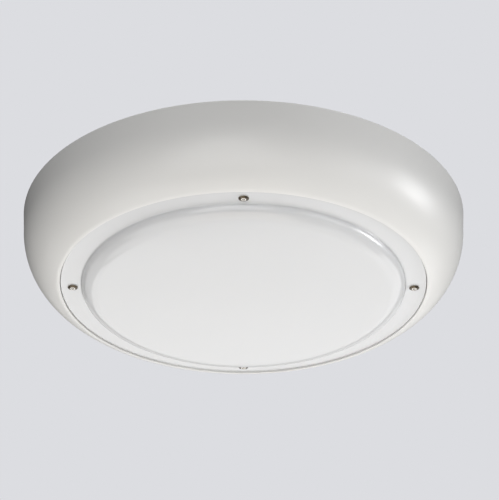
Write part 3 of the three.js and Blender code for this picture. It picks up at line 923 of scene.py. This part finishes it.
def bush_section(bore, groove, lip, node, sheet_top, sheet_bottom):
    """A rubber bush: round lips either side of a groove that grips the sheet."""
    top, bottom = top_and_bottom(node)
    return rounded(
        [
            (bore, top, 0.5),
            (lip, top, 1.0),
            (lip, sheet_top + 0.1, 0.25),
            (groove, sheet_top + 0.1),
            (groove, sheet_bottom - 0.1),
            (lip, sheet_bottom - 0.1, 0.25),
            (lip, bottom, 1.0),
            (bore, bottom, 0.5),
        ]
    )


CABLE_BORE = 5
grommet_section = bush_section(CABLE_BORE, ENTRY - 0.2, 11, "cable_grommet", dish_face, dish_floor)
grommet = turned("grommet", grommet_section, segments=64)
piece("entry_grommet", grommet, [RUBBER], "cable_grommet")
print("rivets:", len(RIVETS), "and one grommet with", len(grommet.polygons), "faces")

# %% [markdown]
# ## Machine screws for the inside
#
# The inside is held together by pan-head screws with a cross recess. They come in several sizes, so
# one function makes them from the CAD node's own box: the head's face and the shank's tip are the
# node's lowest and highest points. The recess is a cross of two tapering blades cut into the head.

# %% A pan-head screw for a CAD node
M4 = {"head_radius": 3.6, "head_height": 2.4, "thread_radius": 1.8, "pitch": 0.7}
M3 = {"head_radius": 2.75, "head_height": 1.9, "thread_radius": 1.4, "pitch": 0.5}


def cross_recess(size, depth, face):
    """Two cutting blades at right angles."""
    blade = punched("blade", rectangle(size, size * 0.22, size * 0.1), face - 1, face + depth)
    return [moved(blade, spot(0, 0, turn)) for turn in (0, 90)]


def pan_screw(node, name, head_radius, head_height, thread_radius, pitch):
    tip, face = top_and_bottom(node)
    seat = face + head_height
    section = rounded(
        [
            (0, face),
            (head_radius * 0.72, face, head_radius * 0.5),
            (head_radius, face + head_height * 0.55, head_radius * 0.35),
            (head_radius, seat, 0.1),
            (0, seat),
        ],
        steps=6,
    )
    recess = cross_recess(head_radius, head_height * 0.6, face)
    head = drilled(turned("pan", section, segments=40), recess)
    rod = threaded("rod", thread_radius, 0.18, pitch, seat - 0.1, tip, segments=16, per_turn=5)
    screw = joined("screw", [head, rod])
    piece(name, screw, [ZINC], node, centre_of(node))


for number in range(1, 5):
    pan_screw(f"tray_screw_{number}", f"tray_fixing_{number}", **M4)
    pan_screw(f"board_screw_{number}", f"board_fixing_{number}", **M3)
for number in (1, 2):
    pan_screw(f"driver_screw_{number}", f"driver_fixing_{number}", **M4)
pan_screw("terminal_screw", "terminal_fixing", **M3)

# %% Standoffs and pillars
POST = 4
M4_BORE, M3_BORE = 1.9, 1.6
DEEPEST_BORE = 14


def post(node, name, bore):
    """A round steel post, open at its lower end for a screw."""
    top, bottom = top_and_bottom(node)
    depth = min(DEEPEST_BORE, (top - bottom) * 0.75)
    section = rounded(
        [
            (0, top),
            (POST, top, 0.3),
            (POST, bottom, 0.5),
            (bore, bottom, 0.25),
            (bore, bottom + depth),
            (0, bottom + depth),
        ]
    )
    mesh = turned("post", section, segments=40)
    piece(name, mesh, [ZINC], node, centre_of(node))


for number in range(1, 5):
    post(f"tray_pillar_{number}", f"tray_post_{number}", M4_BORE)
for number in (1, 2):
    post(f"driver_standoff_{number}", f"driver_post_{number}", M4_BORE)
post("terminal_standoff", "terminal_post", M3_BORE)

# %% [markdown]
# ## The gear tray
#
# A white steel dish carries the LED board on its front and hides the wiring behind it. Its flared rim
# throws light forward. With the diffuser taken down, the tray is the first thing that one sees, so it
# gets a rolled edge, and its holes are cut through.

# %% Press the gear tray
tray_top, tray_bottom = top_and_bottom("gear_tray")
tray_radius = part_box("gear_tray")[1].x / MM
TRAY = 1.5
TRAY_FLAT = 133
tray_face = tray_top - TRAY
rim_z = tray_bottom + 0.9
tray_section = rounded(
    [
        (0, tray_top),
        (TRAY_FLAT, tray_top, 4),
        (tray_radius, rim_z, 0.6),
        (tray_radius - 1.4, tray_bottom, 0.6),
        (TRAY_FLAT - 0.6, tray_face, 2.5),
        (0, tray_face),
    ],
    steps=6,
)
PILLARS = [f"tray_pillar_{number}" for number in range(1, 5)]
BOARD_FIXINGS = [f"board_screw_{number}" for number in range(1, 5)]
M4_HOLE, M3_HOLE, BUSH_HOLE = 2.1, 1.7, 7
tray_tools = holes(PILLARS, M4_HOLE, tray_face, tray_top)
tray_tools += holes(BOARD_FIXINGS, M3_HOLE, tray_face, tray_top)
tray_tools += holes(["tray_bush"], BUSH_HOLE, tray_face, tray_top)
tray_mesh = drilled(turned("tray", tray_section, segments=192), tray_tools)
piece("reflector_tray", tray_mesh, [TRAY_PAINT], "gear_tray")
tray_bush_section = bush_section(5, BUSH_HOLE - 0.3, 9, "tray_bush", tray_top, tray_face)
tray_bush = turned("tray_bush", tray_bush_section, segments=48)
piece("lead_bush", tray_bush, [RUBBER], "tray_bush", centre_of("tray_bush"))
print("tray faces:", len(tray_mesh.polygons))

# %% [markdown]
# ## The LED board
#
# The board is a ring of white-masked laminate. Each LED is a small white housing with a round well of
# yellow phosphor. Three simple shapes make one LED, and the loop repeats them in two rings. The board
# and its housings are one mesh, and the phosphor is a second material on it.

# %% Make one LED
board_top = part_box("led_board")[1].z / MM
board_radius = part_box("led_board")[1].x / MM
BOARD = 1.6
BOARD_BORE = 48
LED_WIDTH, LED_LENGTH, LED_HEIGHT = 2.8, 3.5, 0.8
LED_ROWS = [(66, 12), (98, 24)]  # the radius of each ring and its number of LEDs
WELL = 1.05
board_face = board_top - BOARD
led_face = board_face - LED_HEIGHT
well = circle(WELL, count=24)
outline = rectangle(LED_WIDTH, LED_LENGTH, 0.25)
housing = punched("housing", outline, led_face, board_face, [well], 0.08)
outline = rectangle(LED_WIDTH + 0.9, 1.1, 0.15)
pads = punched("pads", outline, board_face - 0.06, board_face + 0.05)
phosphor_section = [
    (0, led_face + 0.12),
    (0.7, led_face + 0.14),
    (WELL - 0.01, led_face + 0.2),
    (WELL - 0.01, board_face),
    (0, board_face),
]
phosphor = turned("phosphor", phosphor_section, 24)
print("one LED has", len(housing.polygons) + len(phosphor.polygons), "faces")


# %% Lay out the board
def painted(mesh, index):
    """Sets the material index of all of a mesh's faces."""
    for face in mesh.polygons:
        face.material_index = index
    return mesh


led_places = []
for radius, count in LED_ROWS:
    led_places += round_spots(count, radius, 180 / count)
laminate_section = rounded(
    [
        (BOARD_BORE, board_top, 0.15),
        (board_radius, board_top, 0.15),
        (board_radius, board_face, 0.15),
        (BOARD_BORE, board_face, 0.15),
    ],
    steps=2,
)
board_tools = holes(BOARD_FIXINGS, M3_HOLE, board_face, board_top)
laminate = drilled(turned("laminate", laminate_section, segments=160), board_tools)
leds = joined("leds", [painted(housing, 1), painted(phosphor, 2), painted(pads, 3)], led_places)
board_mesh = joined("board", [painted(laminate, 0), leds])
piece("led_ring", board_mesh, [MASK, LED_BODY, PHOSPHOR, COPPER], "led_board")
print("LEDs on the board:", len(led_places))

# %% The board's connector
plug_top, plug_bottom = top_and_bottom("board_connector")
housing_block = punched("plug", rectangle(12, 8, 0.5), plug_bottom, plug_top, edge=0.25)
entries = []
for side in (-2.5, 2.5):
    mouth = rectangle(3, 4, 0.4, (side, -3.5))
    entries.append(punched("entry", mouth, plug_top - 3.7, plug_top - 0.7))
    window = rectangle(1.6, 2.4, 0.3, (side, 1.2))
    entries.append(punched("window", window, plug_bottom - 1, plug_bottom + 1))
connector = drilled(housing_block, entries)
at = centre_of("board_connector")
piece("lead_connector", connector, [NYLON], "board_connector", at)
print("connector at", [round(part, 1) for part in at])

# %% [markdown]
# ## The driver and the terminal block
#
# The driver turns mains into the steady current that the LEDs need. It is a closed plastic case with a
# lid, so a fine seam runs round it, and it has a foot at each end. The terminal block is nylon, with a
# funnel for each wire, a shaft down to each clamping screw, and deep walls between its poles.

# %% Mould the driver
driver_top, driver_bottom = top_and_bottom("led_driver")
driver_at = centre_of("led_driver")
CASE_LENGTH, CASE_WIDTH, CASE_CORNER = 128, 42, 4
FOOT, FOOT_FIXING, FOOT_SHEET = 12, 70, 2
SEAM, SEAM_DEPTH = 0.35, 0.7
LEAD_ROW = 6  # how far each lead is from the driver's centre line
DRIVER_LEAD_Z = -22
seam_z = driver_top - 7
outline = rectangle(CASE_LENGTH, CASE_WIDTH, CASE_CORNER)
tray_half = punched("case", outline, seam_z + SEAM / 2, driver_top, edge=0.6)
lid_half = punched("lid", outline, driver_bottom, seam_z - SEAM / 2, edge=1.2)
inset = 2 * SEAM_DEPTH
outline = rectangle(CASE_LENGTH - inset, CASE_WIDTH - inset, 3.4)
core = punched("core", outline, driver_bottom + 2, driver_top - 2)
outline = rectangle(CASE_LENGTH + 2 * FOOT, CASE_WIDTH - 8, 3)
foot_holes = [circle(2.2, (side * FOOT_FIXING, 0), 24) for side in (-1, 1)]
feet = punched("feet", outline, driver_top - FOOT_SHEET, driver_top, foot_holes, 0.3)
lead_wells = []
for end in (-1, 1):
    for row in (-LEAD_ROW, LEAD_ROW):
        outline = rectangle(6, 4, 0.6, (end * CASE_LENGTH / 2, row))
        lead_wells.append(punched("well", outline, DRIVER_LEAD_Z - 2, DRIVER_LEAD_Z + 2))
case = drilled(joined("driver", [tray_half, lid_half, core, feet]), lead_wells)
piece("driver_case", case, [CASE], "led_driver", driver_at)
print("driver faces:", len(case.polygons))

# %% Mould the terminal block and its clamps
block_top, block_bottom = top_and_bottom("terminal_block")
block_at = centre_of("terminal_block")
BLOCK_LENGTH, BLOCK_WIDTH = 54, 20
CLAMPS = [f"terminal_clamp_{number}" for number in range(1, 5)]
LEAD_Z = -15
poles = [centre_of(node)[0] - block_at[0] for node in CLAMPS]
outline = rectangle(BLOCK_LENGTH, BLOCK_WIDTH, 2)
block = punched("block", outline, block_bottom, block_top, edge=0.5)
block_tools = [
    punched("shaft", circle(M3_HOLE), block_bottom - 1, block_top + 1),
    punched("sink", circle(3.3), block_bottom - 1, block_bottom + 12),
]
for pole in poles:
    block_tools.append(punched("well", circle(2.7, (pole, 0)), block_bottom - 1, block_bottom + 6))
    for side in (-1, 1):
        outline = rectangle(3.4, 8, 0.8, (pole, side * BLOCK_WIDTH / 2))
        block_tools.append(punched("funnel", outline, LEAD_Z - 1.7, LEAD_Z + 1.7))
block_mesh = drilled(block, block_tools)
piece("terminal_body", block_mesh, [NYLON], "terminal_block", block_at)
CLAMP = 2.25
for number, node in enumerate(CLAMPS, 1):
    top, bottom = top_and_bottom(node)
    slug = rounded([(0, top), (CLAMP, top, 0.3), (CLAMP, bottom, 0.3), (0, bottom)])
    slit = punched("slit", rectangle(6, 0.7, 0.1), bottom - 1, bottom + 1)
    clamp = drilled(turned("clamp", slug, 32), [slit])
    piece(f"clamp_screw_{number}", clamp, [ZINC], node, centre_of(node))
print("terminal poles at", [round(pole, 1) for pole in poles])

# %% [markdown]
# ## The earth point
#
# Every metal-bodied mains fitting is earthed. A stud is fixed to the back plate, and a tag crimped on
# the earth wire is clamped on it under a washer and a nut.

# %% Make the earth point
stud_top, stud_bottom = top_and_bottom("earth_stud")
earth_at = centre_of("earth_stud")
stud = threaded("stud", 2.4, 0.3, M5_PITCH, stud_bottom, stud_top, segments=20)
piece("earth_bolt", stud, [ZINC], "earth_stud", earth_at)

ring_top, ring_bottom = top_and_bottom("earth_washer")
EARTH_BORE, EARTH_RING = 2.7, 5
ring_section = rounded(
    [
        (EARTH_BORE, ring_top),
        (EARTH_RING, ring_top, 0.25),
        (EARTH_RING, ring_bottom, 0.25),
        (EARTH_BORE, ring_bottom),
    ]
)
washer = turned("earth_washer", ring_section, 48)
piece("earth_ring", washer, [ZINC], "earth_washer", earth_at)

nut_top, nut_bottom = top_and_bottom("earth_nut")
hexagon = circle(4.6, count=6)
nut = punched("nut", hexagon, nut_bottom, nut_top, [circle(2.65, count=24)], 0.3)
piece("earth_hex_nut", nut, [ZINC], "earth_nut", earth_at)

tag_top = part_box("earth_tag")[1].z / MM
tag_bottom = tag_top - 0.8
eye = circle(EARTH_BORE, count=24)
tag_ring = punched("tag", circle(4.8, count=40), tag_bottom, tag_top, [eye], 0.15)
tongue = punched("tongue", rectangle(5, 5, 0.6, (-6.5, 0)), tag_bottom, tag_top, edge=0.15)
BARREL_BORE, BARREL_RADIUS, BARREL_HALF = 1.25, 1.75, 3.5
barrel_section = rounded(
    [
        (BARREL_BORE, -BARREL_HALF, 0.2),
        (BARREL_RADIUS, -BARREL_HALF, 0.3),
        (BARREL_RADIUS, BARREL_HALF, 0.3),
        (BARREL_BORE, BARREL_HALF, 0.2),
    ]
)
lowered = Matrix.Translation((0, 0, (tag_top - 1.6) * MM))
lying = spot(-11, 0) @ lowered @ Matrix.Rotation(math.pi / 2, 4, "Y")
barrel = moved(turned("barrel", barrel_section, 28), lying)
tag = joined("earth_tag", [tag_ring, tongue, barrel])
piece("crimped_tag", tag, [ZINC], "earth_tag", earth_at)
print("earth point at", [round(part, 1) for part in earth_at])

# %% [markdown]
# ## The wiring
#
# Five insulated wires join the terminals, the driver, the LED board and the earth point. Each follows
# a smooth curve through a few listed points, first along the back plate and then through the bush in
# the tray. The points are the CAD model's own, so the wire lies where the CAD wire lies. A curve with
# a round bevel makes the tube.

# %% Route the wires
WIRE_GAP = 0.4  # between a wire's end and the face that it enters
block_face = block_at[1] + BLOCK_WIDTH / 2 + WIRE_GAP
reach = CASE_LENGTH / 2 + WIRE_GAP
driver_ends = (driver_at[0] - reach, driver_at[0] + reach)
driver_rows = (driver_at[1] + LEAD_ROW, driver_at[1] - LEAD_ROW)
plug_z = board_face - 0.2 - 2.2
plug_face = BOARD_BORE + 1.6
ROUTES = {
    "live_wire": [
        (-19, block_face, LEAD_Z), (-19, block_face + 5, LEAD_Z), (-32, 80, -13), (-60, 62, -9),
        (-86, 30, -6), (-92, -10, -6), (-91, -45, -9), (-84, -63, -17), (-74, -66, -21.5),
        (driver_ends[0], driver_rows[0], DRIVER_LEAD_Z),
    ],
    "neutral_wire": [
        (-8, block_face, LEAD_Z), (-8, block_face + 8, LEAD_Z), (-30, 87, -13), (-64, 67, -9),
        (-91, 32, -6), (-97, -12, -6), (-96, -50, -9), (-89, -72, -17), (-78, -77, -21.5),
        (driver_ends[0], driver_rows[1], DRIVER_LEAD_Z),
    ],
    "led_plus_wire": [
        (driver_ends[1], driver_rows[0], DRIVER_LEAD_Z), (74, -66, -22), (80, -56, -24), (76, -34, -28),
        (56, -9, -33), (28, 11, -37), (4, 22, -40), (-1.9, 27.5, -45), (-1.9, 28, -50),
        (-2.3, 31, -54), (-2.5, 38, -54.8), (-2.5, 44, plug_z), (-2.5, plug_face, plug_z),
    ],
    "led_minus_wire": [
        (driver_ends[1], driver_rows[1], DRIVER_LEAD_Z), (77, -79, -22), (88, -64, -24), (83, -31, -28),
        (61, -4, -33), (32, 16, -37), (9, 25.5, -40), (1.9, 28, -45), (1.9, 28, -50),
        (2.3, 31, -54), (2.5, 38, -54.8), (2.5, 44, plug_z), (2.5, plug_face, plug_z),
    ],
    "earth_wire": [
        (earth_at[0] - 15, earth_at[1], -4.2), (earth_at[0] - 21, earth_at[1] + 1, -5), (44, 72, -8),
        (34, 80, -12), (24, 80.5, -14), (19, block_face + 4, LEAD_Z), (19, block_face, LEAD_Z),
    ],
}
print("wires:", {name: len(route) for name, route in ROUTES.items()})


# %% Draw each wire along its route
def smooth_path(points, steps=8):
    """Points on a curve that passes through all of these, turning evenly at each."""
    path = []
    knots = [Vector(point) for point in points]
    knots = [2 * knots[0] - knots[1], *knots, 2 * knots[-1] - knots[-2]]
    for before, start, end, after in zip(knots, knots[1:], knots[2:], knots[3:]):
        spans = [math.sqrt((b - a).length) for a, b in ((before, start), (start, end), (end, after))]
        leave = tangent(before, start, end, spans[0], spans[1]) * spans[1]
        arrive = tangent(start, end, after, spans[1], spans[2]) * spans[1]
        for step in range(steps):
            t = step / steps
            path.append(
                (2 * t**3 - 3 * t**2 + 1) * start
                + (t**3 - 2 * t**2 + t) * leave
                + (3 * t**2 - 2 * t**3) * end
                + (t**3 - t**2) * arrive
            )
    return [*path, knots[-2]]


def tangent(one, two, three, first, second):
    """The slope at the middle one of three points of a centripetal curve."""
    return (two - one) / first - (three - one) / (first + second) + (three - two) / second


def wire_mesh(name, path, radius, sides=16):
    """A tube along a path, closed at both ends."""
    curve = bpy.data.curves.new(name, "CURVE")
    curve.dimensions = "3D"
    curve.bevel_depth = radius * MM
    curve.bevel_resolution = sides // 4
    curve.use_fill_caps = True
    spline = curve.splines.new("POLY")
    spline.points.add(len(path) - 1)
    for knot, place in zip(spline.points, path):
        knot.co = (*(place * MM), 1)
    holder = bpy.data.objects.new(name, curve)
    mesh = bpy.data.meshes.new_from_object(holder)
    bpy.data.objects.remove(holder)
    bpy.data.curves.remove(curve)
    return tidy(mesh, 50)


WIRE_RADIUS = 1.1
for node, route in ROUTES.items():
    slot_name, finish = INSULATION[node]
    path = smooth_path(route)
    mesh = wire_mesh(node, path, WIRE_RADIUS)
    piece(f"insulated_{node}", mesh, [finish], node)
    length = sum((b - a).length for a, b in zip(path, path[1:]))
    print(node, "is", round(length), "mm long")

# %% [markdown]
# ## The studio
#
# The light does most of the work on a white object. Wide soft panels below it and beyond it light the
# faces that point down. Low panels on the camera's side light the near wall, and a narrow one among
# them gives its faint glow. A strong panel at the right gives the shell its one clear highlight, with
# a small key lamp inside it that sharpens the middle. There is little at the left, so the shell's edge
# falls off there. The panel overhead only reaches the back plate, for a look from above.
#
# The backdrop that the camera sees is a plain pale grey, and it is kept apart from the light that falls
# on the luminaire: the world is a bright even grey to the camera and a dim one to everything else.

# %% Backdrop and world
BACKDROP = rgb(0.716, 0.723, 0.753)
AMBIENT = rgb(0.02, 0.02, 0.021)


def studio_world():
    world = bpy.data.worlds.new("studio")
    world.use_nodes = True
    tree = world.node_tree
    tree.nodes.clear()
    seen = tree.nodes.new("ShaderNodeBackground")
    seen.inputs["Color"].default_value = BACKDROP
    lit = tree.nodes.new("ShaderNodeBackground")
    lit.inputs["Color"].default_value = AMBIENT
    rays = tree.nodes.new("ShaderNodeLightPath")
    blend = tree.nodes.new("ShaderNodeMixShader")
    output = tree.nodes.new("ShaderNodeOutputWorld")
    tree.links.new(rays.outputs["Is Camera Ray"], blend.inputs["Fac"])
    tree.links.new(lit.outputs[0], blend.inputs[1])
    tree.links.new(seen.outputs[0], blend.inputs[2])
    tree.links.new(blend.outputs[0], output.inputs["Surface"])
    return world


scene.world = studio_world()
scene.view_settings.view_transform = "Standard"
print("world:", scene.world.name)


# %% Floor and lamps
FLOOR_Z, FLOOR_RADIUS, FLOOR_DEPTH = -3900, 60000, 20
outline = circle(FLOOR_RADIUS, count=96)
floor_mesh = punched("floor", outline, FLOOR_Z - FLOOR_DEPTH, FLOOR_Z)
floor = bpy.data.objects.new("floor", floor_mesh)
scene.collection.objects.link(floor)
FLOOR_PAINT = grained("floor_paint", (0.72, 0.725, 0.74), (0.75, 0.755, 0.77), 0.6, 0.02, FINE)
floor_mesh.materials.append(FLOOR_PAINT.material)

MIDDLE = Vector((0, 0, -0.05))


def softbox(name, direction, distance, size, power, colour=(1, 1, 1)):
    """A rectangular lamp that faces the luminaire from a direction."""
    lamp = bpy.data.lights.new(name, "AREA")
    lamp.shape = "RECTANGLE"
    lamp.size, lamp.size_y = size
    lamp.energy = power
    lamp.color = colour
    holder = bpy.data.objects.new(name, lamp)
    scene.collection.objects.link(holder)
    towards = Vector(direction).normalized()
    holder.location = MIDDLE + towards * distance
    holder.rotation_mode = "QUATERNION"
    holder.rotation_quaternion = (-towards).to_track_quat("-Z", "Y")
    holder.visible_camera = False
    return holder


softbox("below", (0, 0, -1), 2.2, (1.3, 1.3), 7.5, (1, 0.92, 0.8))
softbox("below_far", (0, 0.5, -0.866), 2.2, (2.6, 1.3), 13)
softbox("below_left", (-0.5, 0, -0.866), 2.2, (1.2, 1.2), 6)
softbox("far", (0.2, 0.85, -0.48), 2.3, (3.2, 1.2), 19.5)
softbox("far_left", (-0.6, 0.7, -0.4), 2.2, (1.2, 0.9), 2)
softbox("far_horizon", (0, 1, 0.03), 2.4, (2.6, 0.7), 4)
softbox("front_low", (-0.14, -0.86, -0.5), 2.4, (2.2, 1.4), 18)
softbox("front", (-0.15, -0.98, -0.15), 2.3, (1.1, 0.45), 5.5)
softbox("front_high", (0, -0.98, 0.15), 2.3, (1.8, 0.8), 2.5)
softbox("right_near", (0.75, -0.5, -0.3), 2.2, (1.0, 1.0), 4)
softbox("right", (0.996, 0, -0.087), 2.2, (1.0, 0.9), 17, (0.97, 0.98, 1))
softbox("key", (0.988, -0.03, -0.149), 1.74, (0.3, 0.2), 1.8)
softbox("overhead", (0, 0, 1), 2.6, (3, 3), 45)
print("lamps:", [light.name for light in bpy.data.lights])
